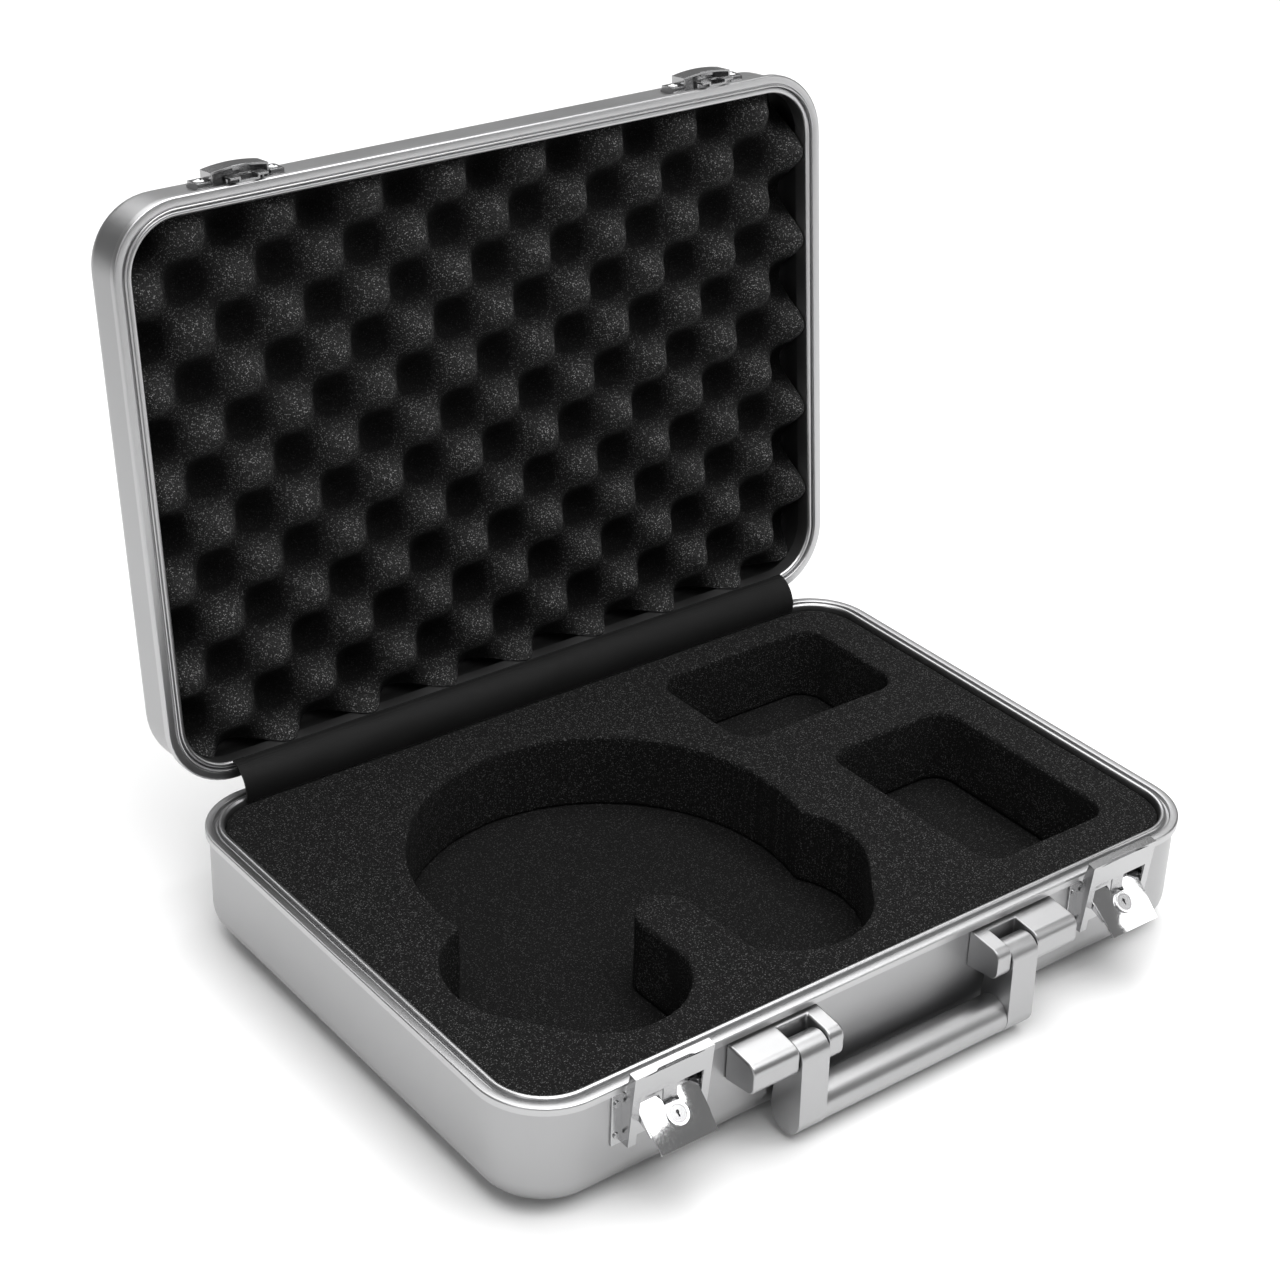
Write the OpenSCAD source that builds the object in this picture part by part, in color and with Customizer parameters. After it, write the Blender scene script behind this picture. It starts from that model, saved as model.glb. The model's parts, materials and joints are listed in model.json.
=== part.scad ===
// Hard carrying case for headphones: two pressed shells with extruded rims, foam linings,
// a rear hinge, two key-lock draw latches and a swinging carry handle.
// Origin: centre of the footprint on the floor. X across the front, -Y front, +Z up.

/* [Case] */
// Width over the rims
case_w = 440; // [420:1:460]
// Front-to-back depth over the rims
case_d = 310; // [300:1:320]
// Plan corner radius of the rims
corner_r = 37; // [32:1:40]
// Depth of the base shell below the rim plane
base_h = 62; // [60:1:66]
// Depth of the lid shell above the rim plane
lid_h = 38; // [36:1:44]
// How far the lid stands open from closed, in degrees
open_angle = 96; // [90:1:98]

/* [Rims] */
// Total width of a rim frame in plan
rim_w = 9.8; // [9.6:0.1:10]
// Height of the rim's outer band
band_h = 4; // [3.5:0.1:4.5]
// How far the rim stands proud of the shell wall
rim_proud = 2; // [1.8:0.1:2.2]
// Gap between the two rims when the case is shut
shut_gap = 0.8; // [0.6:0.1:1]

/* [Foam] */
// Drop of the base foam's top below the rim plane
foam_drop = 2.4; // [2:0.1:3]
// Depth of the pockets in the base foam
pocket_depth = 44; // [40:1:46]

/* [Latches] */
// Distance of each latch from the middle of the front
latch_x = 145; // [140:1:148]
// Sideways offset of both latches
latch_shift = 2; // [0:0.5:2]
// Angle between an open flap and the vertical
flap_open = 50; // [45:1:52]

/* [Handle] */
// Distance of each handle arm from the middle
arm_x = 68; // [64:1:72]
// Width of an arm
arm_w = 17; // [15:1:18]

/* [Hidden] */

$fn = 48;
foot_h = 4;
wall = 1.6;
rim_z = foot_h + base_h;
half_w = case_w / 2;
half_d = case_d / 2;
shell_w = case_w - 2 * rim_proud;
shell_d = case_d - 2 * rim_proud;
shell_r = corner_r - rim_proud;
base_edge = 16;
lid_edge = 12;

// hinge axis: behind the rear edge and above the rim plane
hinge_back = 3.4;
hinge_up = 2.4;
hinge_y = half_d + hinge_back;

// latch geometry in the side plane: out is measured from the shell wall, up from the rim plane
wall_y = half_d - rim_proud;
pivot_out = 3.72;
pivot_up = -16.5;
flap_skin = 4.33;
flap_top = -2.1;
flap_len = 25.5;
cover_top_out = 10.5;
cover_low_out = 6.5;
cover_top = 8;
cover_low = -33;
cover_half = 22.5;
slant = atan((cover_top_out - cover_low_out) / (cover_top - cover_low));
crank_r = 3.8;
crank_shut = -75;
flap_travel = flap_open + slant;
crank_open = crank_shut + flap_travel;
hook_out = pivot_out + crank_r * cos(crank_open);
hook_up = pivot_up + crank_r * sin(crank_open);
lock_t = 9.2;

// handle geometry in the same side plane
knuckle_out = 13.8;
knuckle_up = -17;
knuckle_r = 8.5;
grip_out = 12.6;
grip_up = -51.4;
grip_r = 10.5;
arm_pin_r = 2.5;
// flats sit this far inside the rounds they join
flat_sink = 0.03;

// the footprint centre at rest, from the front of the flaps or handle to the back of the open lid
flap_reach = pivot_out + (flap_top + flap_len) * sin(flap_open) + flap_skin * cos(flap_open);
front_reach = wall_y + max(flap_reach, grip_out + grip_r);
lid_back = hinge_y - (wall_y - lid_edge + hinge_y) * cos(open_angle)
    + (lid_h - lid_edge - hinge_up) * sin(open_angle) + lid_edge;
case_y = (front_reach - lid_back) / 2;

// ---------- shared shapes ----------

module rounded_rect(w, d, r) {
    square([w - 2 * r, d], center = true);
    square([w, d - 2 * r], center = true);
    for (sx = [-1, 1], sy = [-1, 1])
        translate([sx * (w / 2 - r), sy * (d / 2 - r)]) circle(r);
}

// sweeps a section round a rounded rectangle; x = 0 of the section is the outer edge, -x inwards
module ring_sweep(w, d, r) {
    cw = w / 2 - r;
    cd = d / 2 - r;
    for (k = [0:3]) {
        sx = (k == 0 || k == 3) ? 1 : -1;
        sy = k < 2 ? 1 : -1;
        translate([sx * cw, sy * cd, 0])
            rotate([0, 0, 90 * k])
                rotate_extrude(angle = 90) translate([r, 0]) children();
    }
    for (s = [0, 180]) {
        rotate([0, 0, s]) translate([w / 2, cd, 0])
            rotate([90, 0, 0]) linear_extrude(2 * cd) children();
        rotate([0, 0, s + 90]) translate([d / 2, cw, 0])
            rotate([90, 0, 0]) linear_extrude(2 * cw) children();
    }
}

// a filled section r wide with its lower outer edge rounded
module tub_section(r, h, e) {
    translate([-r, 0]) square([r - e, h]);
    translate([-e, e]) square([e, h - e]);
    intersection() {
        translate([-e, e]) circle(e);
        translate([-e, 0]) square([e, e]);
    }
}

// a rounded block standing on z = 0, with rounded lower edges
module tub(w, d, r, h, e) {
    ring_sweep(w, d, r) tub_section(r, h, e);
    translate([0, 0, h / 2]) cube([w - 2 * r, d - 2 * r, h], center = true);
}

module hollow_tub(w, d, r, h, e, t) {
    difference() {
        tub(w, d, r, h, e);
        translate([0, 0, t]) tub(w - 2 * t, d - 2 * t, r - t, h, e - t);
    }
}

module at_case() { translate([0, case_y, 0]) children(); }

// lid parts are drawn shut, above the rim plane, and swung open here
module at_lid() {
    at_case()
        translate([0, hinge_y, rim_z + hinge_up])
            rotate([-open_angle, 0, 0])
                translate([0, -hinge_y, -hinge_up]) children();
}

// side plane of the front: x = out from the wall, y = up from the rim plane
module on_front(x) {
    at_case() translate([x, -wall_y, rim_z]) children();
}

// extrudes a side-plane drawing across, centred
module across(w) {
    rotate([90, 0, -90]) translate([0, 0, -w / 2]) linear_extrude(w) children();
}

function latch_pos(s) = s * latch_x + latch_shift;

// ---------- shells and rims ----------

module base_shell() {
    color([0.62, 0.62, 0.63]) at_case()
        translate([0, 0, foot_h])
            hollow_tub(shell_w, shell_d, shell_r, base_h - band_h, base_edge, wall);
}

module lid_shell() {
    color([0.62, 0.62, 0.63]) at_lid()
        translate([0, 0, lid_h]) mirror([0, 0, 1])
            hollow_tub(shell_w, shell_d, shell_r, lid_h - shut_gap - band_h, lid_edge, wall);
}

// the band, a groove and a rounded inner lip with a skirt inside the shell
module base_rim_section() {
    lip = 3.2;
    groove = 2;
    band = rim_w - lip - groove;
    translate([-band, -band_h]) square([band - 1, band_h]);
    translate([-1, -band_h]) square([1, band_h - 1]);
    intersection() {
        translate([-1, -1]) circle(1);
        translate([-1, -1]) square(1);
    }
    translate([-rim_w, -band_h]) square([rim_w - band, 1.6]);
    translate([-rim_w, -band_h]) square([lip, band_h - 1]);
    translate([-rim_w + lip / 2, -1]) circle(lip / 2);
    translate([-rim_w, -band_h - 6]) square([2.2, 6]);
}

// the matching frame with a low ridge over the groove
module lid_rim_section() {
    lip = 3.2;
    groove = 2;
    band = rim_w - lip - groove;
    ridge = 1.1;
    translate([-band, 0]) square([band - 1, band_h]);
    translate([-1, 1]) square([1, band_h - 1]);
    intersection() {
        translate([-1, 1]) circle(1);
        translate([-1, 0]) square(1);
    }
    translate([-rim_w, band_h - 1.6]) square([rim_w - band, 1.6]);
    translate([-rim_w, 1]) square([lip, band_h - 1]);
    translate([-rim_w + lip / 2, 1]) intersection() {
        circle(lip / 2);
        translate([-lip, -1]) square([2 * lip, 4]);
    }
    translate([-band - groove / 2 - ridge / 2, -1.2]) square([ridge, band_h + 0.4]);
    translate([-rim_w, band_h]) square([2.2, 6]);
}

module base_rim() {
    color([0.8, 0.8, 0.81]) at_case()
        translate([0, 0, rim_z]) ring_sweep(case_w, case_d, corner_r) base_rim_section();
}

module lid_rim() {
    color([0.8, 0.8, 0.81]) at_lid()
        translate([0, 0, shut_gap]) ring_sweep(case_w, case_d, corner_r) lid_rim_section();
}

// ---------- foam ----------

foam_gap = 0.6;
foam_w = case_w - 2 * (rim_w + foam_gap);
foam_d = case_d - 2 * (rim_w + foam_gap);
foam_r = corner_r - rim_w - foam_gap;
pad_t = base_h - wall - foam_drop - pocket_depth - 2 * 0.2;

// the floor pad stays inside the rounded lower edge of the shell
module base_foam_pad() {
    side = base_edge - wall;
    color([0.1, 0.1, 0.1]) at_case()
        translate([0, 0, foot_h + wall + 0.2]) linear_extrude(pad_t)
            rounded_rect(foam_w - side, foam_d - side, foam_r - side / 2);
}

module stadium(x, y, angle, w, l) {
    translate([x, y]) rotate(angle) {
        square([l - w, w], center = true);
        for (s = [-1, 1]) translate([s * (l - w) / 2, 0]) circle(w / 2);
    }
}

// two ear cups joined by the arch of the headband, with a finger of foam left between the cups
module headphone_pit() {
    difference() {
        union() {
            stadium(-133, -66, -53, 90, 122);
            stadium(0, -65, 53, 94, 126);
            translate([-52, 6]) circle(105);
        }
        stadium(-65, -93, 91, 32, 102);
        translate([-81, -140]) square([30, 66]);
    }
}

module pocket(x0, y0, x1, y1, r) {
    translate([(x0 + x1) / 2, (y0 + y1) / 2]) rounded_rect(x1 - x0, y1 - y0, r);
}

module base_foam() {
    color([0.13, 0.13, 0.13]) at_case() translate([0, 0, rim_z - foam_drop - pocket_depth])
        difference() {
            linear_extrude(pocket_depth) rounded_rect(foam_w, foam_d, foam_r);
            translate([0, 0, -1]) linear_extrude(pocket_depth + 2) {
                headphone_pit();
                pocket(68, 46, 183, 124, 14);
                pocket(97, -118, 184, 9, 12);
            }
        }
}

module lid_foam() {
    peak = 1.2;
    color([0.1, 0.1, 0.1]) at_lid()
        translate([0, 0, peak]) linear_extrude(lid_h - wall - 1 - peak)
            rounded_rect(foam_w, foam_d, foam_r);
}

// soft band over the hinge, from the lid foam to the base foam, curved round the hinge axis
module hinge_cover() {
    length = 372;
    thick = 1.2;
    band_r = 15.3;
    low = foam_drop - 0.3 + hinge_up;
    color([0.16, 0.16, 0.16]) at_case() translate([-length / 2, hinge_y, rim_z + hinge_up])
        rotate([90, 0, 90]) linear_extrude(length) intersection() {
            difference() {
                circle(band_r);
                circle(band_r - thick);
            }
            translate([-band_r, -low]) square([band_r - 0.9, band_r + low]);
        }
}

// ---------- feet ----------

foot_r = 8;
foot_round = 1.2;
foot_x = half_w - 40;
foot_y = half_d - 36;

module base_feet() {
    color([0.08, 0.08, 0.08]) at_case()
        for (sx = [-1, 1], sy = [-1, 1]) translate([sx * foot_x, sy * foot_y, 0])
            rotate_extrude() difference() {
                union() {
                    translate([0, foot_round]) square([foot_r, foot_h - foot_round]);
                    square([foot_r - foot_round, foot_h]);
                    translate([foot_r - foot_round, foot_round]) circle(foot_round);
                }
                // well for the screw head, with a web above it
                square([3.2, foot_h - 1]);
            }
}

// screws sunk in the feet
module base_foot_screws() {
    color([0.7, 0.7, 0.7]) at_case()
        for (sx = [-1, 1], sy = [-1, 1]) translate([sx * foot_x, sy * foot_y, 1.4])
            cylinder(r = 2.6, h = foot_h - 1 - 1.4);
}

module rear_bumper(r, h) {
    rotate([-90, 0, 0]) rotate_extrude() {
        square([r, h - 1.5]);
        square([r - 1.5, h]);
        intersection() {
            translate([r - 1.5, h - 1.5]) circle(1.5);
            translate([r - 1.5, h - 1.5]) square(1.5);
        }
    }
}

module rear_feet_base() {
    color([0.08, 0.08, 0.08]) at_case()
        for (s = [-1, 1]) translate([s * (half_w - 44), wall_y, rim_z - 30]) rear_bumper(6, 5);
}

module rear_feet_lid() {
    color([0.08, 0.08, 0.08]) at_lid()
        for (s = [-1, 1]) translate([s * (half_w - 44), wall_y, 17]) rear_bumper(6, 5);
}

// ---------- rear hinges ----------

hinge_x = 120;
hinge_len = 60;
knuckle_h_r = 2.6;
hinge_pin_r = 1.4;
leaf_h = 22;

// side plane of the back: x = behind the shell wall, y = up from the rim plane
module on_back(x) {
    translate([x, wall_y, 0]) children();
}

module back_across(w) {
    rotate([90, 0, 90]) translate([0, 0, -w / 2]) linear_extrude(w) children();
}

axis_out = rim_proud + hinge_back;

// leaf plate against the wall below the rim, stepped out round the rim to the knuckle
module base_leaf_section() {
    translate([0, -band_h - leaf_h]) square([1.6, leaf_h - 0.3]);
    translate([1.6, -band_h - 8]) square([2.2, 6]);
    translate([axis_out - knuckle_h_r, -band_h - 4]) square([1.4, band_h + 5]);
}

module lid_leaf_section() {
    low = shut_gap + band_h;
    translate([0, low + 0.3]) square([1.6, leaf_h - 8]);
    translate([1.6, low + 2]) square([2.2, 4]);
    translate([axis_out - knuckle_h_r, hinge_up]) square([1.4, low + 1.6]);
}

module knuckle(w, bore) {
    translate([0, axis_out, hinge_up]) rotate([0, 90, 0]) difference() {
        cylinder(r = knuckle_h_r, h = w, center = true);
        cylinder(r = bore, h = w + 2, center = true);
    }
}

module leaf_bore(w) {
    translate([0, axis_out, hinge_up]) rotate([0, 90, 0])
        cylinder(r = knuckle_h_r - 0.01, h = w, center = true);
}

mid_knuckle = 28;
end_knuckle = (hinge_len - mid_knuckle) / 2 - 0.4;

module hinge_base_leaves() {
    color([0.75, 0.75, 0.76]) at_case() for (s = [-1, 1])
        translate([s * hinge_x, wall_y, rim_z]) {
            difference() {
                union() for (e = [-1, 1])
                    translate([e * (mid_knuckle / 2 + 0.4 + end_knuckle / 2), 0, 0])
                        back_across(end_knuckle) base_leaf_section();
                leaf_bore(hinge_len + 2);
            }
            translate([0, 0, -band_h - leaf_h]) translate([-mid_knuckle / 2 - 0.5, 0, 0])
                cube([mid_knuckle + 1, 1.6, leaf_h - 8]);
            for (e = [-1, 1])
                translate([e * (mid_knuckle / 2 + 0.4 + end_knuckle / 2), 0, 0])
                    knuckle(end_knuckle, hinge_pin_r);
        }
}

module hinge_lid_leaves() {
    color([0.75, 0.75, 0.76]) at_lid() for (s = [-1, 1])
        translate([s * hinge_x, wall_y, 0]) {
            difference() {
                back_across(mid_knuckle) lid_leaf_section();
                leaf_bore(mid_knuckle + 2);
            }
            translate([-hinge_len / 2, 0, shut_gap + band_h + 8]) cube([hinge_len, 1.6, 6.3]);
            knuckle(mid_knuckle, hinge_pin_r + 0.06);
        }
}

module hinge_pins() {
    color([0.7, 0.7, 0.7]) at_case() for (s = [-1, 1])
        translate([s * hinge_x, wall_y + axis_out, rim_z + hinge_up])
            rotate([0, 90, 0]) cylinder(r = hinge_pin_r, h = hinge_len, center = true);
}

// ---------- handle ----------

// point where a line from p touches the circle at c, on the side given by the sign
function touch(p, c, r, side) =
    let (d = p - c, a = atan2(d[1], d[0]) + side * acos(r / norm(d)))
    c + r * [cos(a), sin(a)];

// D-shaped side profile: flat back on the wall, rounded nose
module bracket_section() {
    nose = 5.5;
    reach = 21;
    top = [0, -5.4];
    low = [0, -26.2];
    high_c = [reach - nose, -12.6];
    low_c = [reach - nose, -18.6];
    flat_r = nose - flat_sink;
    polygon([
        low, touch(low, low_c, flat_r, 1), low_c + [flat_r, 0],
        high_c + [flat_r, 0], touch(top, high_c, flat_r, -1), top
    ]);
    translate(high_c) circle(nose);
    translate(low_c) circle(nose);
}

module handle_bracket(s) {
    inner = arm_x - arm_w / 2 - 9.5;
    outer = 104.5;
    color([0.7, 0.7, 0.71]) on_front(s * (inner + outer) / 2)
        difference() {
            across(outer - inner) bracket_section();
            // slot for the arm, open in front, above and below
            translate([s * (arm_x - (inner + outer) / 2), 0, 0]) {
                translate([-arm_w / 2 - 0.5, -40, -40]) cube([arm_w + 1, 36, 50]);
                // blind bores for the pin on both sides
                translate([0, -knuckle_out, knuckle_up]) rotate([0, 90, 0])
                    cylinder(r = arm_pin_r, h = arm_w + 12, center = true);
            }
        }
}

module bracket_left() { handle_bracket(-1); }
module bracket_right() { handle_bracket(1); }

module handle_pins() {
    color([0.7, 0.7, 0.7]) for (s = [-1, 1])
        on_front(s * arm_x) translate([0, -knuckle_out, knuckle_up])
            rotate([0, 90, 0]) cylinder(r = arm_pin_r, h = arm_w + 12, center = true);
}

// tangent outline between two circles, as four corner points
function tangent_points(a, ra, b, rb) =
    let (d = b - a, len = norm(d), dir = atan2(d[1], d[0]), off = acos((ra - rb) / len))
    [for (q = [[a, ra, -off], [b, rb, -off], [b, rb, off], [a, ra, off]])
        q[0] + q[1] * [cos(dir + q[2]), sin(dir + q[2])]];

module arm_section() {
    knuckle_at = [knuckle_out, knuckle_up];
    grip_at = [grip_out, grip_up];
    polygon(tangent_points(knuckle_at, knuckle_r - flat_sink, grip_at, grip_r - flat_sink));
    translate(knuckle_at) circle(knuckle_r);
    translate(grip_at) circle(grip_r);
}

module handle_arm(s) {
    color([0.72, 0.72, 0.73]) on_front(s * arm_x) difference() {
        across(arm_w) arm_section();
        translate([0, -knuckle_out, knuckle_up]) rotate([0, 90, 0])
            cylinder(r = arm_pin_r + 0.08, h = arm_w + 2, center = true);
    }
}

module handle_arm_left() { handle_arm(-1); }
module handle_arm_right() { handle_arm(1); }

module handle_grip() {
    color([0.74, 0.74, 0.75]) on_front(0) translate([0, -grip_out, grip_up])
        rotate([0, 90, 0]) cylinder(r = grip_r - 0.3, h = 2 * arm_x - arm_w, center = true);
}

// ---------- latches ----------

plate_t = 1.2;
skin_t = 1;
window_half = 18;
lug_in = 18.2;
lug_out = 19.8;
pin_r = 1;

module latch_plate(s) {
    top = -band_h - 0.4;
    color([0.78, 0.78, 0.79]) on_front(latch_pos(s)) {
        translate([-28, -plate_t, cover_low - 0.5])
            cube([56, plate_t, top - cover_low + 0.5]);
    }
}

module latch_plate_left() { latch_plate(-1); }
module latch_plate_right() { latch_plate(1); }

// side wall of the cover: closed below the rim, held clear of the rims above it
module cover_side_section() {
    polygon([
        [plate_t, cover_low], [cover_low_out, cover_low], [cover_top_out, cover_top - 0.2],
        [6.3, cover_top - 0.2], [4, -1], [4, -band_h - 0.4], [plate_t, -band_h - 0.4]
    ]);
}

module cover_skin_section() {
    polygon([
        [cover_low_out - skin_t, cover_low], [cover_low_out, cover_low],
        [cover_top_out, cover_top], [cover_top_out - skin_t, cover_top]
    ]);
}

module latch_cover(s) {
    window_top = -5;
    lug_r = 2.4;
    color([0.8, 0.8, 0.81]) on_front(latch_pos(s)) {
        difference() {
            union() {
                across(2 * cover_half) cover_skin_section();
                // lip bent back over the hook
                across(2 * cover_half) polygon([
                    [cover_top_out, cover_top], [cover_top_out, cover_top + 0.2],
                    [6, cover_top + 1], [6, cover_top], [cover_top_out - skin_t, cover_top - 0.8]
                ]);
            }
            // window, open at the bottom
            translate([-window_half, -20, cover_low - 1])
                cube([2 * window_half, 20, window_top - cover_low + 1]);
            // bowed slot along the fold
            translate([0, -cover_top_out - 1, cover_top - 0.6]) rotate([90, 0, 0])
                translate([0, 0, -2.2]) intersection() {
                    translate([0, -98.6, 0]) cylinder(r = 100, h = 4, $fn = 180);
                    translate([-17, -0.2, 0]) cube([34, 3, 4]);
                }
        }
        for (e = [-1, 1]) {
            translate([e * (cover_half - skin_t / 2), 0, 0]) across(skin_t) cover_side_section();
            // lug that carries the flap pin
            translate([e * (lug_in + lug_out) / 2, 0, 0]) difference() {
                across(lug_out - lug_in) {
                    translate([pivot_out, pivot_up]) circle(lug_r);
                    translate([plate_t, pivot_up - lug_r]) square([pivot_out - plate_t, 2 * lug_r]);
                    translate([pivot_out, pivot_up - 1.5]) square([3.8, 3]);
                }
                translate([0, -pivot_out, pivot_up]) rotate([0, 90, 0])
                    cylinder(r = pin_r, h = 4, center = true);
            }
        }
    }
}

module latch_cover_left() { latch_cover(-1); }
module latch_cover_right() { latch_cover(1); }

// rivets that hold the plates to the shell
module latch_rivets() {
    color([0.72, 0.72, 0.72]) for (s = [-1, 1]) on_front(latch_pos(s))
        for (e = [-1, 1], z = [-10, -28]) translate([e * 25.4, -plate_t, z])
            rotate([90, 0, 0]) cylinder(r = 1.6, h = 0.8);
}

module flap_pins() {
    color([0.72, 0.72, 0.72]) for (s = [-1, 1]) on_front(latch_pos(s))
        for (e = [-1, 1]) translate([e * (15.2 + lug_out) / 2, -pivot_out, pivot_up])
            rotate([0, 90, 0]) cylinder(r = pin_r, h = lug_out - 15.2, center = true);
}

// flap frame: x across, -y towards the outer face, -z from the pivot to the free edge
module at_flap(s) {
    on_front(latch_pos(s)) translate([0, -pivot_out, pivot_up])
        rotate([-flap_open, 0, 0]) children();
}

module flap(s) {
    top_half = 17.2;
    low_half = 16;
    z_low = flap_top + flap_len;
    crank_t = crank_r * sin(-crank_shut - slant);
    crank_n = crank_r * cos(-crank_shut - slant);
    color([0.85, 0.85, 0.86]) at_flap(s) difference() {
        union() {
            // outer skin, a little narrower at the free edge
            translate([0, -flap_skin + skin_t, 0]) rotate([90, 0, 0]) linear_extrude(skin_t)
                polygon([[-top_half, -flap_top], [top_half, -flap_top],
                    [low_half, -z_low], [-low_half, -z_low]]);
            // turned edge at the bottom
            translate([-low_half, -flap_skin + skin_t - 0.01, -z_low])
                cube([2 * low_half, 1.6, skin_t]);
            for (e = [-1, 1]) {
                // cheeks round the pins
                translate([e * (top_half - 0.75 - 0.05), 0, 0]) across(1.5) {
                    circle(2);
                    polygon([[-1.2, 1.6], [flap_skin - 0.5, -flap_top], [flap_skin - 0.5, -14],
                        [flap_skin - 2, -14], [-1.2, -1.6]]);
                }
                // lugs round the crank pin
                translate([e * 5.1, 0, 0]) across(1.2) {
                    translate([crank_n, -crank_t]) circle(1.5);
                    translate([crank_n, -crank_t - 1.5])
                        square([flap_skin - skin_t / 2 - crank_n, 3]);
                }
            }
        }
        rotate([0, 90, 0]) cylinder(r = pin_r + 0.06, h = 60, center = true);
        translate([0, -crank_n, -crank_t]) rotate([0, 90, 0])
            cylinder(r = 0.7, h = 14, center = true);
        translate([0, 0, -lock_t]) rotate([90, 0, 0]) cylinder(r = 4.6, h = 20, center = true);
        // notch for the hook's shank
        translate([-4.4, -10, -3.6]) cube([8.8, 20, 8]);
    }
}

module flap_left() { flap(-1); }
module flap_right() { flap(1); }

module crank_pin(s) {
    crank_t = crank_r * sin(-crank_shut - slant);
    crank_n = crank_r * cos(-crank_shut - slant);
    color([0.72, 0.72, 0.72]) at_flap(s) translate([0, -crank_n, -crank_t])
        rotate([0, 90, 0]) cylinder(r = 0.7, h = 11.4, center = true);
}

module crank_pin_left() { crank_pin(-1); }
module crank_pin_right() { crank_pin(1); }

// draw hook: an eye on the crank pin, a flat shank and a nose that drops behind the catch bar
module hook(s) {
    shank_t = 1;
    tip = 5.5;
    nose_in = 2.7;
    color([0.7, 0.7, 0.7]) on_front(latch_pos(s)) difference() {
        across(8) {
            translate([hook_out, hook_up]) circle(1.5);
            translate([hook_out - shank_t / 2, hook_up]) square([shank_t, tip - hook_up]);
            translate([hook_out - nose_in, tip - 1.5]) square([nose_in, 1.5]);
        }
        translate([0, -hook_out, hook_up]) rotate([0, 90, 0])
            cylinder(r = 0.76, h = 12, center = true);
    }
}

module hook_left() { hook(-1); }
module hook_right() { hook(1); }

// lock axis frame: +z out of the flap's face, z = 0 at the pivot's depth
module at_lock(s) {
    at_flap(s) translate([0, 0, -lock_t]) rotate([90, 0, 0]) children();
}

module lock_sleeve(s) {
    color([0.86, 0.86, 0.87]) at_lock(s) difference() {
        union() {
            translate([0, 0, 0.6]) cylinder(r = 3.6, h = flap_skin - 0.6);
            translate([0, 0, flap_skin - skin_t - 0.8]) cylinder(r = 4.5, h = skin_t + 0.9);
            translate([0, 0, flap_skin + 0.03]) cylinder(r = 5.75, h = 0.87);
        }
        translate([0, 0, -1]) cylinder(r = 2.7, h = 10);
        translate([0, 0, flap_skin - 0.9]) cylinder(r = 4.3, h = 10);
    }
}

module lock_sleeve_left() { lock_sleeve(-1); }
module lock_sleeve_right() { lock_sleeve(1); }

module lock_plug(s) {
    color([0.82, 0.82, 0.83]) at_lock(s) difference() {
        union() {
            translate([0, 0, flap_skin - 0.85]) cylinder(r = 4.22, h = 1.55);
            cylinder(r = 2.63, h = flap_skin - 0.5);
            // tongue behind the sleeve
            translate([-1.5, -1.5, -0.8]) cube([3, 5.2, 0.85]);
        }
        // keyway
        translate([-0.45, -1.6, 1]) cube([0.9, 3.2, 8]);
        translate([0, 0.9, 1]) cylinder(r = 0.9, h = 8, $fn = 24);
    }
}

module lock_plug_left() { lock_plug(-1); }
module lock_plug_right() { lock_plug(1); }

// ---------- lid catches ----------

ear_out = 3.6;
ear_low = 9;

module on_lid_front(x) {
    at_lid() translate([x, -wall_y, 0]) children();
}

bridge_out = 8.9;
bridge_bow = 86;

// block whose outer face is bowed across its width
module bridge_block(bow, half, low, top) {
    intersection() {
        translate([0, bridge_bow - bridge_out, low]) cylinder(r = bow, h = top - low, $fn = 720);
        translate([-half, -20, low]) cube([2 * half, 20 - plate_t + 0.2, top - low]);
    }
}

// plate with two screw ears, a raised bridge whose edge is bowed, and a low keeper bar for the hook
module lid_catch(s) {
    low = shut_gap + band_h + 0.2;
    top = 20.6;
    half = 24;
    bridge_half = 16;
    bridge_low = 9.8;
    keeper_half = 10.5;
    keeper_out = 5.5;
    keeper_low = 0.3;
    color([0.78, 0.78, 0.79]) on_lid_front(latch_pos(s)) {
        translate([-half, -plate_t, low]) cube([2 * half, plate_t, top - low]);
        // ears
        for (e = [-1, 1]) translate([e * (half + 16.5) / 2 - (half - 16.5) / 2, -ear_out, ear_low])
            cube([half - 16.5, ear_out - plate_t + 0.2, top - 1.2 - ear_low]);
        // bowed bridge: skin, legs and back wall
        difference() {
            bridge_block(bridge_bow, bridge_half, bridge_low, top);
            bridge_block(bridge_bow - 1, bridge_half - 1, bridge_low - 1, top - 1);
        }
        // tongue turned in at the middle of the lower edge
        translate([-4, -bridge_out - 0.25, bridge_low + 0.1]) cube([8, 2.6, 1.2]);
        // keeper: low front plate with a window, its legs, the bar and its tabs
        difference() {
            translate([-keeper_half, -keeper_out, keeper_low])
                cube([2 * keeper_half, 1, low + 3.8 - keeper_low]);
            translate([-4.75, -8, -1]) cube([9.5, 6, 8]);
        }
        for (e = [-1, 1]) translate([e * (keeper_half - 0.5) - 0.5, -keeper_out, low])
            cube([1, keeper_out - plate_t + 0.2, 3.8]);
        translate([-5.75, -3.8, keeper_low]) cube([11.5, 1.1, 1.2]);
        for (e = [-1, 1]) translate([e * 5.25 - 0.5, -keeper_out, keeper_low])
            cube([1, keeper_out - 2.7, 1.2]);
    }
}

module catch_left() { lid_catch(-1); }
module catch_right() { lid_catch(1); }

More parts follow.
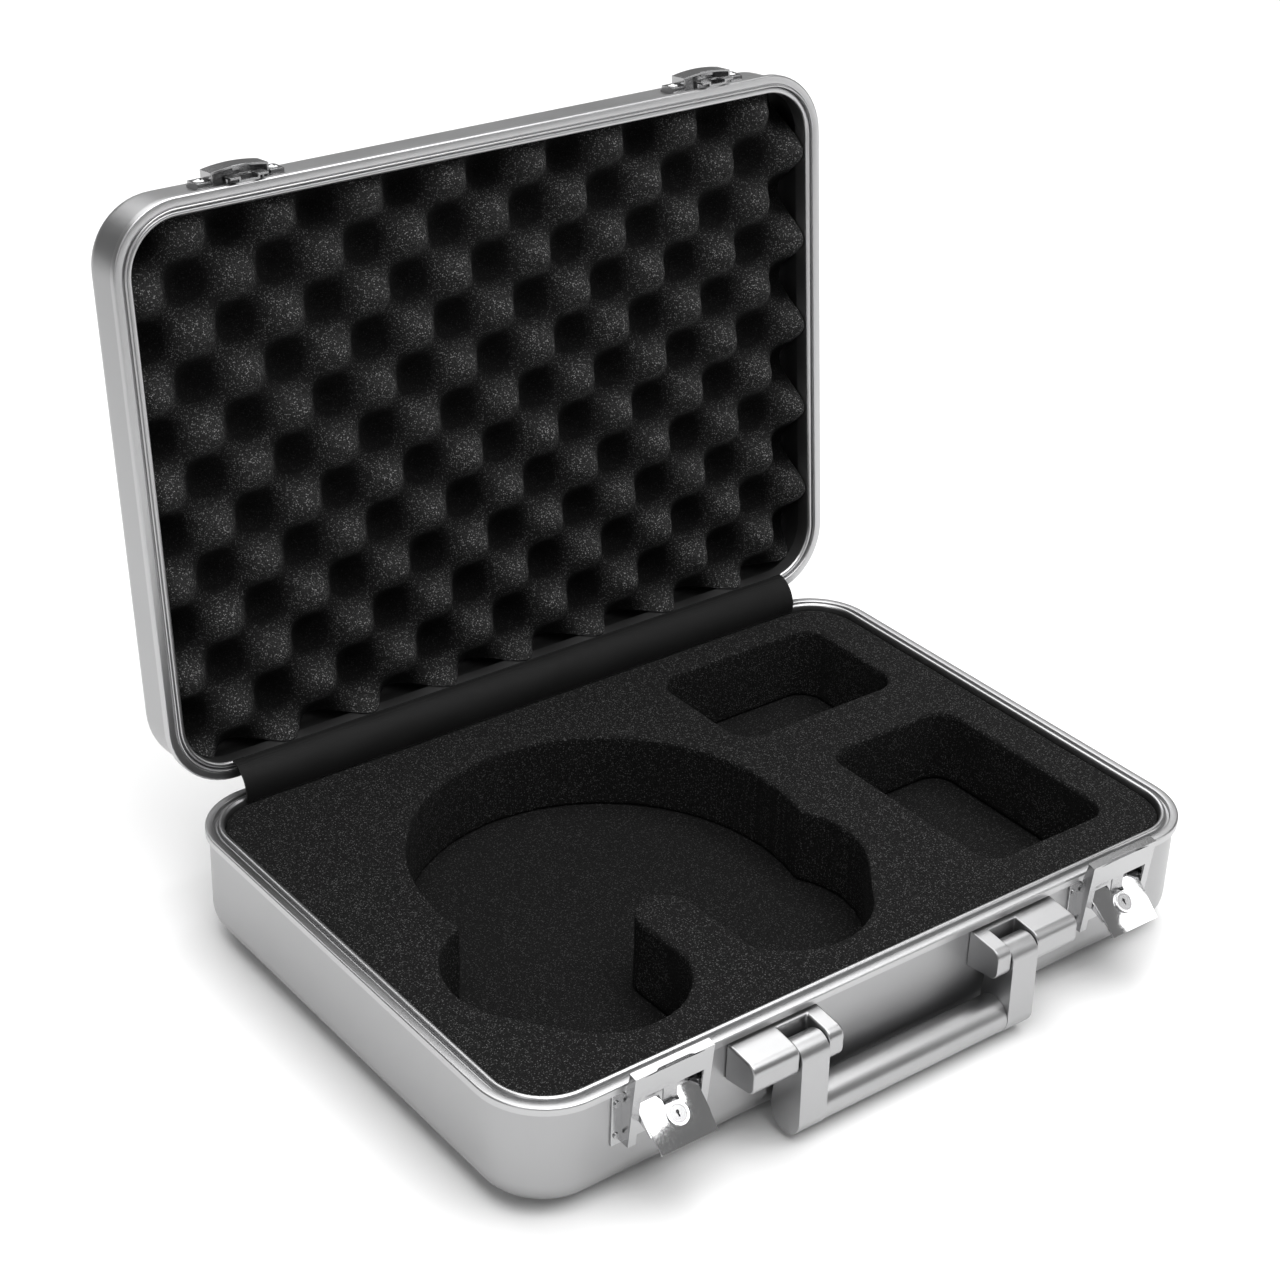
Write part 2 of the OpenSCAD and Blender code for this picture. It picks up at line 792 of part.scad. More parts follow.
module catch_screws() {
    color([0.8, 0.8, 0.8]) for (s = [-1, 1]) on_lid_front(latch_pos(s))
        for (e = [-1, 1]) translate([e * 20.3, -ear_out, ear_low + 5]) rotate([90, 0, 0])
            difference() {
                intersection() {
                    translate([0, 0, -4.2]) sphere(r = 5.6);
                    cylinder(r = 3.3, h = 3);
                }
                translate([-0.4, -2.4, 0.7]) cube([0.8, 4.8, 2]);
                translate([-2.4, -0.4, 0.7]) cube([4.8, 0.8, 2]);
            }
}

base_shell();
base_rim();
base_foam_pad();
base_foam();
base_feet();
base_foot_screws();
rear_feet_base();
lid_shell();
lid_rim();
lid_foam();
rear_feet_lid();
hinge_cover();
hinge_base_leaves();
hinge_lid_leaves();
hinge_pins();
bracket_left();
bracket_right();
handle_pins();
handle_arm_left();
handle_arm_right();
handle_grip();
latch_plate_left();
latch_plate_right();
latch_cover_left();
latch_cover_right();
latch_rivets();
flap_pins();
flap_left();
flap_right();
crank_pin_left();
crank_pin_right();
hook_left();
hook_right();
lock_sleeve_left();
lock_sleeve_right();
lock_plug_left();
lock_plug_right();
catch_left();
catch_right();
catch_screws();
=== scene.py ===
import json
import math

import bmesh
import bpy
from mathutils import Matrix, Vector, noise


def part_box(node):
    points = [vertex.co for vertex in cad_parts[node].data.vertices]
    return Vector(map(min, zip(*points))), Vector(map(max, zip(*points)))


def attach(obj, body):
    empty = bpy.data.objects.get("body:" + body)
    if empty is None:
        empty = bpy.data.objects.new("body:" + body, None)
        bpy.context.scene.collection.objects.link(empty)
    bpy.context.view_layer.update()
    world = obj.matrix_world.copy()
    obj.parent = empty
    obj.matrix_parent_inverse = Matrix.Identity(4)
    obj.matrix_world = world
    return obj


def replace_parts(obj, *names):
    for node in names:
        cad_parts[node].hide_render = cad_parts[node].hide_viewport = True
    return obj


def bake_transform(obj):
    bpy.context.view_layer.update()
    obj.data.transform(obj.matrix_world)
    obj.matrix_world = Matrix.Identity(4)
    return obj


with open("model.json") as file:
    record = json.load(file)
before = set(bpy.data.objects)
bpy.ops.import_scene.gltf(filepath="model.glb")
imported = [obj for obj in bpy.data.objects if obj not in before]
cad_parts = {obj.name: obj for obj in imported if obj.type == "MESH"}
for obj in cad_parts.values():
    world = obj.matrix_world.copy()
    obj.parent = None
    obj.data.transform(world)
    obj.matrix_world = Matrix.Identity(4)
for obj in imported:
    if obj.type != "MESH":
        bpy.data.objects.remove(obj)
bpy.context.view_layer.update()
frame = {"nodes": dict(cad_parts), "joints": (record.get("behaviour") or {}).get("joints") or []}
MM = 0.001

# ---------- places taken from the frame ----------

rim_lo, rim_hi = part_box("base_rim")
CASE_W = (rim_hi.x - rim_lo.x) / MM
CASE_D = (rim_hi.y - rim_lo.y) / MM
CASE_Y = (rim_hi.y + rim_lo.y) / 2 / MM
RIM_Z = rim_hi.z / MM - 0.6
JOINTS = {j["name"]: j for j in frame["joints"]}
HINGE = Vector(JOINTS["lid_hinge"]["pos_m"])
OPEN = math.radians(JOINTS["lid_hinge"]["range_deg"][1])
HINGE_Y = HINGE.y / MM - CASE_Y
HINGE_UP = HINGE.z / MM - RIM_Z
WALL_Y = CASE_D / 2 - 2
BASE_TF = Matrix.Translation((0, CASE_Y * MM, RIM_Z * MM)) @ Matrix.Scale(MM, 4)
LID_TF = (Matrix.Translation(HINGE) @ Matrix.Rotation(-OPEN, 4, "X")
          @ Matrix.Translation(-HINGE) @ BASE_TF)

# ---------- camera ----------

CAM_AZ, CAM_EL, CAM_ROLL = (math.radians(a) for a in (-38.30, 29.15, 2.03))
CAM_PLACE = (-730.2, -870.35, 737.1)    # mm, from the middle of the base's rim
CAM_SENSOR = 36
CAM_LENS = 72.831
back = Vector((math.sin(CAM_AZ) * math.cos(CAM_EL), -math.cos(CAM_AZ) * math.cos(CAM_EL),
               math.sin(CAM_EL)))
flat_right = Vector((math.cos(CAM_AZ), math.sin(CAM_AZ), 0))
flat_up = back.cross(flat_right)
right = flat_right * math.cos(CAM_ROLL) + flat_up * math.sin(CAM_ROLL)
up = -flat_right * math.sin(CAM_ROLL) + flat_up * math.cos(CAM_ROLL)
cam_data = bpy.data.cameras.new("camera")
cam = bpy.data.objects.new("camera", cam_data)
bpy.context.scene.collection.objects.link(cam)
cam.matrix_world = Matrix.Translation(BASE_TF @ Vector(CAM_PLACE)) @ Matrix(
    (right, up, back)).transposed().to_4x4()
cam_data.sensor_width = CAM_SENSOR
cam_data.lens = CAM_LENS
cam_data.clip_end = 30
bpy.context.scene.camera = cam
bpy.context.scene.view_settings.view_transform = "Standard"

# ---------- material helpers ----------


class Tree:
    """A material's node tree, with short calls for the nodes used here."""

    def __init__(self, name):
        self.mat = bpy.data.materials.new(name)
        self.mat.use_nodes = True
        self.nt = self.mat.node_tree
        self.bsdf = next(n for n in self.nt.nodes if n.type == "BSDF_PRINCIPLED")
        self.coord = self.node("ShaderNodeTexCoord").outputs["Object"]

    def node(self, kind, **values):
        n = self.nt.nodes.new(kind)
        for k, v in values.items():
            setattr(n, k, v)
        return n

    def link(self, a, b):
        self.nt.links.new(a, b)

    def noise(self, scale, detail=2.0, rough=0.5):
        n = self.node("ShaderNodeTexNoise")
        n.inputs["Scale"].default_value = scale
        n.inputs["Detail"].default_value = detail
        n.inputs["Roughness"].default_value = rough
        self.link(self.coord, n.inputs["Vector"])
        return n.outputs["Fac"]

    def span(self, fac, low, high, from_low=0.0, from_high=1.0):
        m = self.node("ShaderNodeMapRange")
        m.inputs["From Min"].default_value = from_low
        m.inputs["From Max"].default_value = from_high
        m.inputs["To Min"].default_value = low
        m.inputs["To Max"].default_value = high
        self.link(fac, m.inputs["Value"])
        return m.outputs["Result"]

    def math(self, op, a, b):
        m = self.node("ShaderNodeMath", operation=op)
        for i, v in enumerate((a, b)):
            if isinstance(v, (int, float)):
                m.inputs[i].default_value = v
            else:
                self.link(v, m.inputs[i])
        return m.outputs[0]

    def mix(self, fac, a, b):
        m = self.node("ShaderNodeMix", data_type="RGBA")
        self.link(fac, m.inputs["Factor"])
        for key, v in (("A", a), ("B", b)):
            s = [i for i in m.inputs if i.name == key and i.type == "RGBA"][0]
            if isinstance(v, float):
                s.default_value = (v, v, v, 1)
            elif isinstance(v, tuple):
                s.default_value = (*v, 1)
            else:
                self.link(v, s)
        return [o for o in m.outputs if o.type == "RGBA"][0]

    def bump(self, height, strength, distance):
        b = self.node("ShaderNodeBump")
        b.inputs["Strength"].default_value = strength
        b.inputs["Distance"].default_value = distance
        self.link(height, b.inputs["Height"])
        return b.outputs["Normal"]

    def set(self, **values):
        for k, v in values.items():
            s = self.bsdf.inputs[k.replace("_", " ")]
            if hasattr(v, "is_linked"):
                self.link(v, s)
            else:
                s.default_value = v
        return self.mat


COOL = (1, 1, 1.01)


def metal(name, tone, rough, grain=0.02, grain_scale=2600, spread=0.04):
    """Bare or anodised metal: cloudy tone, with fine grain in its roughness and surface."""
    t = Tree(name)
    cloud = t.noise(14, 4, 0.55)
    fine = t.noise(grain_scale, 3, 0.6)
    low = tuple(tone * (1 - spread) * c for c in COOL)
    high = tuple(min(1, tone * (1 + spread) * c) for c in COOL)
    mostly_cloud = t.math("ADD", t.math("MULTIPLY", cloud, 0.6), t.math("MULTIPLY", fine, 0.4))
    mostly_fine = t.math("ADD", t.math("MULTIPLY", cloud, 0.4), t.math("MULTIPLY", fine, 0.6))
    return t.set(Base_Color=t.mix(mostly_cloud, low, high), Metallic=1.0,
                 Roughness=t.span(mostly_fine, rough - 0.07, rough + 0.07, 0.25, 0.75),
                 Normal=t.bump(fine, grain, 0.0004))


def foam_material(name, tone, painted_highlight_strength=1.0, cell=1500, pits=False):
    """Open-cell foam: dark matt cells, painted highlights on scattered cells, painted shade in marked
    pits.
    """
    t = Tree(name)
    cells = t.node("ShaderNodeTexVoronoi")
    cells.inputs["Scale"].default_value = cell
    t.link(t.coord, cells.inputs["Vector"])
    pick = t.node("ShaderNodeSeparateColor")
    t.link(cells.outputs["Color"], pick.inputs["Color"])
    grain = t.noise(1300, 4, 0.75)
    patch = t.noise(22, 3, 0.5)
    base = t.mix(t.span(grain, 0, 1, 0.36, 0.64), tone * 0.35, tone * 1.9)
    base = t.mix(t.span(patch, 0.0, 0.4, 0.3, 0.7), base, tone * 1.2)
    # painted highlight: a share of the cells gets a bright spot painted into the base colour
    chosen = t.span(pick.outputs["Red"], 0, 1, 0.66, 1.0)
    spot = t.span(cells.outputs["Distance"], 1, 0, 0.25, 0.6)
    painted_glint = t.math("MULTIPLY", t.math("MULTIPLY", chosen, spot), painted_highlight_strength)
    base = t.mix(painted_glint, base, tone * 18)
    # painted shade: the colour darkens towards black with the stored pit depth, on top of the pits'
    # real shadow
    if pits:
        shade = t.node("ShaderNodeAttribute", attribute_name="pit_depth")
        base = t.mix(t.span(shade.outputs["Fac"], 0, 0.93, 0.25, 0.7), base, 0.0)
    depth = t.math("ADD", t.math("MULTIPLY", cells.outputs["Distance"], 0.6), grain)
    return t.set(Base_Color=base, Roughness=t.span(grain, 0.82, 1.0),
                 Specular_IOR_Level=0.12, Normal=t.bump(depth, 0.8, 0.0009))


def cloth_material(name, tone):
    """Closely woven black cloth with a soft sheen."""
    t = Tree(name)
    threads_per_m = 560
    weave = []
    for direction in ("X", "Z"):
        w = t.node("ShaderNodeTexWave", wave_type="BANDS", bands_direction=direction)
        w.inputs["Scale"].default_value = threads_per_m
        w.inputs["Distortion"].default_value = 0.6
        w.inputs["Detail"].default_value = 1
        t.link(t.coord, w.inputs["Vector"])
        weave.append(w.outputs["Fac"])
    threads = t.math("MULTIPLY", weave[0], weave[1])
    cloud = t.noise(30, 4, 0.6)
    base = t.mix(t.math("ADD", t.math("MULTIPLY", threads, 0.5), t.math("MULTIPLY", cloud, 0.5)),
                 tone * 0.55, tone * 1.5)
    return t.set(Base_Color=base, Roughness=t.span(cloud, 0.45, 0.6), Sheen_Weight=0.04,
                 Sheen_Roughness=0.4, Specular_IOR_Level=0.14, Normal=t.bump(threads, 0.3, 0.0004))


def rubber_material(name, tone):
    """Matt black rubber."""
    t = Tree(name)
    grain = t.noise(1400, 4, 0.65)
    cloud = t.noise(60, 3, 0.5)
    base = t.mix(cloud, tone * 0.7, tone * 1.5)
    return t.set(Base_Color=base, Roughness=t.span(grain, 0.55, 0.8),
                 Specular_IOR_Level=0.35, Normal=t.bump(grain, 0.35, 0.0004))


SHELL = metal("satin_shell", 0.37, 0.38, grain=0.10, grain_scale=1900, spread=0.05)
RIM = metal("rim_extrusion", 0.46, 0.34, grain=0.05, grain_scale=2600, spread=0.04)
HANDLE = metal("satin_handle", 0.40, 0.33, grain=0.06, grain_scale=2300, spread=0.04)
CHROME = metal("polished_chrome", 0.72, 0.07, grain=0.008, grain_scale=900, spread=0.02)
PLATED = metal("plated_steel", 0.44, 0.20, grain=0.03, grain_scale=1800, spread=0.04)
STEEL = metal("plain_steel", 0.42, 0.26, grain=0.05, grain_scale=1800, spread=0.06)
FOAM = foam_material("charcoal_foam", 0.0062)
# painted light: the same charcoal foam with its tone raised near threefold, brightening the crate's
# bumps
FOAM_LID = foam_material("charcoal_foam_crate", 0.017, pits=True)
FOAM_PAD = foam_material("charcoal_foam_floor", 0.0055, painted_highlight_strength=0.6)
CLOTH = cloth_material("hinge_cloth", 0.006)
RUBBER = rubber_material("black_rubber", 0.016)

# ---------- mesh helpers ----------


def piece(name, bm, mat, tf, body, smooth_angle=35):
    """Turns a bmesh drawn in millimetres into a finished piece that rides on a body."""
    me = bpy.data.meshes.new(name)
    bmesh.ops.recalc_face_normals(bm, faces=bm.faces)
    bm.to_mesh(me)
    bm.free()
    me.transform(tf)
    for p in me.polygons:
        p.use_smooth = True
    me.set_sharp_from_angle(angle=math.radians(smooth_angle))
    me.materials.append(mat)
    ob = bpy.data.objects.new(name, me)
    bpy.context.scene.collection.objects.link(ob)
    if body:
        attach(ob, body)
    return ob


def apply_modifiers(ob):
    """Swaps an object's mesh for the one that its modifiers make."""
    bpy.context.view_layer.update()
    dg = bpy.context.evaluated_depsgraph_get()
    me = bpy.data.meshes.new_from_object(ob.evaluated_get(dg))
    ob.modifiers.clear()
    old = ob.data
    ob.data = me
    bpy.data.meshes.remove(old)
    return ob


def round_loop(w, d, r, n=14):
    """Points of a rounded rectangle, anticlockwise from the right."""
    pts = []
    for k, (sx, sy) in enumerate(((1, 1), (-1, 1), (-1, -1), (1, -1))):
        for i in range(n + 1):
            a = math.pi / 2 * (k + i / n)
            pts.append((sx * (w / 2 - r) + r * math.cos(a), sy * (d / 2 - r) + r * math.sin(a)))
    return pts


def loft(w, d, r, profile, closed=False, cap_end=False, cap_start=False, n=14):
    """Joins rounded rectangles; the profile is (inset from w by d, height) pairs."""
    bm = bmesh.new()
    rings = []
    for s, z in profile:
        pts = round_loop(w - 2 * s, d - 2 * s, max(r - s, 0.6), n)
        rings.append([bm.verts.new((x, y, z)) for x, y in pts])
    pairs = list(zip(rings, rings[1:] + ([rings[0]] if closed else [])))
    for a, b in pairs[:len(rings) if closed else len(rings) - 1]:
        for i in range(len(a)):
            j = (i + 1) % len(a)
            bm.faces.new((a[i], a[j], b[j], b[i]))
    if cap_end:
        bm.faces.new(rings[-1])
    if cap_start:
        bm.faces.new(rings[0][::-1])
    return bm


def arc(cx, cz, r, a0, a1, n=6):
    """Points along a round stretch of a section, in degrees from a0 to a1."""
    return [(cx + r * math.cos(math.radians(a0 + (a1 - a0) * i / n)),
             cz + r * math.sin(math.radians(a0 + (a1 - a0) * i / n))) for i in range(n + 1)]


def bow_skin(ob, origin, down, out, half, depth, sag):
    """Cuts a flat skin into strips and curves it so that its side edges drop back by sag."""
    bm = bmesh.new()
    bm.from_mesh(ob.data)
    across = Vector((1, 0, 0))
    cuts = [(origin + across * (i * half / 8), across) for i in range(-7, 8)]
    cuts += [(origin + down * (i * depth / 8), down) for i in range(1, 8)]
    for place, normal in cuts:
        geom = bm.verts[:] + bm.edges[:] + bm.faces[:]
        bmesh.ops.bisect_plane(bm, geom=geom, plane_co=place, plane_no=normal, dist=1e-6)
    for v in bm.verts:
        rel = v.co - origin
        share = min(1.0, max(0.0, (rel.dot(out) / MM - 1.5) / 1.8))
        u = rel.x / half
        w = rel.dot(down) / depth
        v.co -= out * share * sag * (u * u + 0.6 * w * w * w)
    bm.to_mesh(ob.data)
    bm.free()


def refined(node, mat, body, width=0.35, segments=3, angle=32, bow=None):
    """A copy of a CAD node's shape with its edges eased, standing for the node."""
    src = frame["nodes"][node]
    bm = bmesh.new()
    bm.from_mesh(src.data)
    bmesh.ops.remove_doubles(bm, verts=bm.verts, dist=2e-6)
    bmesh.ops.dissolve_limit(bm, angle_limit=math.radians(1.0), verts=bm.verts, edges=bm.edges)
    me = bpy.data.meshes.new(node + "_eased")
    bm.to_mesh(me)
    bm.free()
    me.materials.clear()
    me.materials.append(mat)
    ob = bpy.data.objects.new(node + "_eased", me)
    bpy.context.scene.collection.objects.link(ob)
    bev = ob.modifiers.new("bevel", "BEVEL")
    bev.width = width * MM
    bev.segments = segments
    bev.limit_method = "ANGLE"
    bev.angle_limit = math.radians(angle)
    bev.use_clamp_overlap = True
    if bow:
        bow_skin(ob, *bow)
    ob.modifiers.new("flats", "WEIGHTED_NORMAL").keep_sharp = True
    for p in ob.data.polygons:
        p.use_smooth = True
    apply_modifiers(ob)
    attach(ob, body)
    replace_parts(ob, node)
    return ob


def cad_look(node, mat):
    """Gives a CAD node, kept as it is, a finer material."""
    ob = frame["nodes"][node]
    ob.data.materials.clear()
    ob.data.materials.append(mat)


# ---------- shells and rims ----------

RIM_R = 37
RIM_PROUD = 2
WALL = 1.6
SHELL_W, SHELL_D = CASE_W - 2 * RIM_PROUD, CASE_D - 2 * RIM_PROUD
SHELL_R = RIM_R - RIM_PROUD
FOOT_H = 4
BASE_H = RIM_Z - FOOT_H
LID_H = 38
BASE_EDGE, LID_EDGE = 16, 12


def add_mesh(bm, other):
    """Moves the faces of another bmesh into this one."""
    me = bpy.data.meshes.new("joined")
    other.to_mesh(me)
    other.free()
    bm.from_mesh(me)
    bpy.data.meshes.remove(me)


def shell(name, node, depth, edge, top, tf, body, flip):
    """A pressed tray: its outer skin, its inner skin and the edge that joins them."""
    outer = [(0, top)] + arc(edge, -depth + edge, edge, 180, 270, 12)
    inner = arc(edge, -depth + edge, edge - WALL, 270, 180, 12) + [(WALL, top)]
    panel = [(edge + 14, -depth), (edge + 40, -depth)]
    panel_inside = [(s, z + WALL) for s, z in reversed(panel)]
    bm = loft(SHELL_W, SHELL_D, SHELL_R, outer + panel, cap_end=True)
    add_mesh(bm, loft(SHELL_W, SHELL_D, SHELL_R, panel_inside + inner, cap_start=True))
    add_mesh(bm, loft(SHELL_W, SHELL_D, SHELL_R, [inner[-1], outer[0]]))
    bmesh.ops.remove_doubles(bm, verts=bm.verts, dist=0.001)
    if flip:
        bmesh.ops.transform(bm, matrix=Matrix.Scale(-1, 4, (0, 0, 1)), verts=bm.verts)
    ob = piece(name, bm, SHELL, tf, body)
    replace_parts(ob, node)
    return ob


BAND_H = 4
SHUT_GAP = 0.8
shell("base_shell_skin", "base_shell", BASE_H, BASE_EDGE, -BAND_H, BASE_TF, "base", False)
shell("lid_shell_skin", "lid_shell", LID_H, LID_EDGE, -BAND_H - SHUT_GAP, LID_TF, "lid", True)

# each rim's section: (inset from the outer face, height), from the band over the lip to the inside
base_section = (
    [(0, -4), (0, -1)] + arc(1, -1, 1, 180, 90, 5)[1:]
    + [(2.4, 0.02)] + arc(4.1, -0.5, 0.5, 90, 0, 3)
    + [(4.6, -2.0)] + arc(5.0, -2.0, 0.4, 180, 270, 2)[1:] + arc(6.2, -2.0, 0.4, 270, 360, 2)
    + arc(8.2, -1, 1.6, 180, 0, 12)
    + [(9.8, -4), (9.8, -9.6), (9.5, -10), (7.9, -10), (7.6, -9.6), (7.6, -4)])
base_frame = loft(CASE_W, CASE_D, RIM_R, base_section, closed=True)
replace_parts(piece("base_rim_frame", base_frame, RIM, BASE_TF, "base"), "base_rim")

G = SHUT_GAP
lid_section = (
    [(0, G + 4), (0, G + 1)] + arc(1, G + 1, 1, 180, 270, 5)[1:]
    + [(2.4, G)] + arc(4.1, G + 0.5, 0.5, 270, 360, 3)
    + [(4.6, G + 0.6), (5.05, G + 0.6)] + [(5.05, G - 0.8)] + arc(5.6, G - 0.65, 0.55, 180, 360, 6)
    + [(6.15, G + 0.8), (6.6, G + 1.6)]
    + arc(8.2, G + 1.6, 1.6, 180, 360, 12)
    + [(9.8, G + 4), (9.8, G + 9.6), (9.5, G + 10), (7.9, G + 10), (7.6, G + 9.6), (7.6, G + 4)])
lid_frame = loft(CASE_W, CASE_D, RIM_R, lid_section, closed=True)
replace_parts(piece("lid_rim_frame", lid_frame, RIM, LID_TF, "lid"), "lid_rim")

# ---------- foam ----------


def foam_block(name, node, mat, body, voxel, dent):
    """A CAD foam block remeshed fine, its cut edges softened and its faces made slightly uneven."""
    src = frame["nodes"][node]
    me = src.data.copy()
    me.materials.clear()
    me.materials.append(mat)
    ob = bpy.data.objects.new(name, me)
    bpy.context.scene.collection.objects.link(ob)
    bm = bmesh.new()
    bm.from_mesh(me)
    bmesh.ops.remove_doubles(bm, verts=bm.verts, dist=2e-6)
    bm.to_mesh(me)
    bm.free()
    rm = ob.modifiers.new("remesh", "REMESH")
    rm.mode = "VOXEL"
    rm.voxel_size = voxel * MM
    sm = ob.modifiers.new("smooth", "SMOOTH")
    sm.factor = 0.5
    sm.iterations = 2
    apply_modifiers(ob)
    spots = [(v.co.copy(), v.normal.copy()) for v in ob.data.vertices]
    flat = []
    for p, out in spots:
        uneven = dent * (noise.noise(p * 38) + 0.35 * noise.noise(p * 260))
        flat.extend(p + out * (uneven - 0.1) * MM)
    ob.data.vertices.foreach_set("co", flat)
    ob.data.update()
    for p in ob.data.polygons:
        p.use_smooth = True
    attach(ob, body)
    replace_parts(ob, node)
    return ob


VOXEL = 1.7
foam_block("base_foam_block", "base_foam", FOAM, "base", VOXEL, 0.25)
foam_block("base_foam_floor", "base_foam_pad", FOAM_PAD, "base", 4.0, 0.2)

# egg-crate: pits and bumps on a chequered lattice, cut into a slab
EGG = 25.4
EGG_X, EGG_Y = 3.0, 19.5
CRATE = 25.0
PEAK = 1.2
FOAM_W, FOAM_D, FOAM_R = 419.2, 289.2, 26.6
SLAB_TOP = LID_H - WALL - 1


def crate_face(x, y):
    """Height of the foam's face above the rim plane: bumps low, pits deep."""
    wave = math.cos(math.pi * (x - EGG_X) / EGG) * math.cos(math.pi * (y - EGG_Y) / EGG)
    depth = (0.5 + 0.5 * wave) ** 0.9
    uneven = 0.5 * noise.noise(Vector((x * 0.03, y * 0.03, 2.0)))
    uneven += 0.12 * noise.noise(Vector((x * 0.6, y * 0.6, 5.0)))
    return PEAK + CRATE * depth + uneven + 0.4


def lid_foam_mesh(step):
    """The crate's face as a grid with rounded corners, with sides and a flat back."""
    bm = bmesh.new()
    nx = int(FOAM_W / step)
    ny = int(FOAM_D / step)
    hw, hd, r = FOAM_W / 2, FOAM_D / 2, FOAM_R
    grid = {}
    for i in range(nx + 1):
        for j in range(ny + 1):
            x = -hw + FOAM_W * i / nx
            y = -hd + FOAM_D * j / ny
            # the corners are pulled in to the rounded outline
            ax, ay = abs(x), abs(y)
            cx, cy = hw - r, hd - r
            if ax > cx and ay > cy:
                dx, dy = ax - cx, ay - cy
                m = max(dx, dy) / math.hypot(dx, dy)
                ax, ay = cx + dx * m, cy + dy * m
                x, y = math.copysign(ax, x), math.copysign(ay, y)
            grid[i, j] = bm.verts.new((x, y, crate_face(x, y)))
    for i in range(nx):
        for j in range(ny):
            bm.faces.new((grid[i, j], grid[i, j + 1], grid[i + 1, j + 1], grid[i + 1, j]))
    edges = [e for e in bm.edges if e.is_boundary]
    out = bmesh.ops.extrude_edge_only(bm, edges=edges)
    verts = [g for g in out["geom"] if isinstance(g, bmesh.types.BMVert)]
    for v in verts:
        v.co.z = SLAB_TOP
    back_edges = [g for g in out["geom"] if isinstance(g, bmesh.types.BMEdge)]
    back_edges = [e for e in back_edges if e.verts[0].co.z == SLAB_TOP and e.verts[1].co.z == SLAB_TOP]
    bmesh.ops.contextual_create(bm, geom=back_edges)
    return bm


def mark_pits(ob):
    """Stores how deep each point of the crate lies, for the shade painted into its pits."""
    back_to_lid = LID_TF.inverted()
    layer = ob.data.attributes.new("pit_depth", "FLOAT", "POINT")
    layer.data.foreach_set("value", [((back_to_lid @ v.co).z - PEAK) / CRATE for v in ob.data.vertices])


CRATE_STEP = 1.8
lid_foam = piece("lid_foam_crate", lid_foam_mesh(CRATE_STEP), FOAM_LID, LID_TF, "lid", 60)
mark_pits(lid_foam)
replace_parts(lid_foam, "lid_foam")

# ---------- hinge cloth ----------

STRIP_L = 372.0
STRIP_R = 14.9
STRIP_FROM, STRIP_TO = math.radians(197.0), math.radians(94.5)
STRIP_THICK = 0.7
HEM = 7.0


def strip_mesh():
    """A thin cloth curved round the hinge line, hemmed at its ends, with slight creases."""
    bm = bmesh.new()
    nu, nv = 186, 20
    rows = []
    for side in (0, 1):
        layer = []
        for i in range(nu + 1):
            x = -STRIP_L / 2 + STRIP_L * i / nu
            hem = 0.45 if STRIP_L / 2 - abs(x) < HEM else 0.0
            line = []
            for j in range(nv + 1):
                v = j / nv
                a = STRIP_FROM + (STRIP_TO - STRIP_FROM) * v
                belly = math.sin(math.pi * v)
                sag = 0.5 * belly * noise.noise(Vector((x * 0.035, v * 1.6, 4.0)))
                crease = 0.35 * belly * max(0.0, noise.noise(Vector((x * 0.16, v * 1.2, 9.0))))
                r = STRIP_R + sag - crease + hem * 0.5 * (1 - 2 * side) - STRIP_THICK * side
                line.append(bm.verts.new((x, HINGE_Y + r * math.cos(a), HINGE_UP + r * math.sin(a))))
            layer.append(line)
        rows.append(layer)
    top, low = rows
    for i in range(nu):
        for j in range(nv):
            bm.faces.new((top[i][j], top[i + 1][j], top[i + 1][j + 1], top[i][j + 1]))
            bm.faces.new((low[i][j], low[i][j + 1], low[i + 1][j + 1], low[i + 1][j]))
        for j, flip in ((0, False), (nv, True)):
            q = (top[i][j], low[i][j], low[i + 1][j], top[i + 1][j])
            bm.faces.new(q[::-1] if flip else q)
    for j in range(nv):
        for i, flip in ((0, True), (nu, False)):
            q = (top[i][j], low[i][j], low[i][j + 1], top[i][j + 1])
            bm.faces.new(q[::-1] if flip else q)
    return bm


strip = piece("hinge_strip", strip_mesh(), CLOTH, BASE_TF, None, 50)
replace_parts(strip, "hinge_cover")
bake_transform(strip)

# ---------- handle, latches and small hardware ----------

FLAP_LEAN = math.radians(50)
FLAP_DOWN = Vector((0, -math.sin(FLAP_LEAN), -math.cos(FLAP_LEAN)))
FLAP_OUT = Vector((0, -math.cos(FLAP_LEAN), math.sin(FLAP_LEAN)))
FLAP_HALF, FLAP_DEPTH, FLAP_SAG = 17 * MM, 23 * MM, 0.7 * MM

for side in ("left", "right"):
    refined(f"bracket_{side}", HANDLE, "base", 2.0, 5)
    refined(f"handle_arm_{side}", HANDLE, "handle", 1.1, 4)
    refined(f"latch_plate_{side}", PLATED, "base", 0.3)
    refined(f"latch_cover_{side}", PLATED, "base", 0.3)
    pivot = Vector(JOINTS[f"flap_{side}_pivot"]["pos_m"])
    flap_bow = (pivot, FLAP_DOWN, FLAP_OUT, FLAP_HALF, FLAP_DEPTH, FLAP_SAG)
    refined(f"flap_{side}", CHROME, f"flap_{side}_body", 0.25, bow=flap_bow)
    refined(f"catch_{side}", PLATED, "lid", 0.3)
    refined(f"hook_{side}", STEEL, f"hook_{side}_body", 0.2)
    refined(f"lock_sleeve_{side}", CHROME, f"flap_{side}_body", 0.18)
    refined(f"lock_plug_{side}", PLATED, f"lock_{side}_body", 0.15)
    cad_look(f"crank_pin_{side}", STEEL)
refined("handle_grip", HANDLE, "handle", 0.4)
refined("base_feet", RUBBER, "base", 0.3)
refined("rear_feet_base", RUBBER, "base", 0.3)
refined("rear_feet_lid", RUBBER, "lid", 0.3)
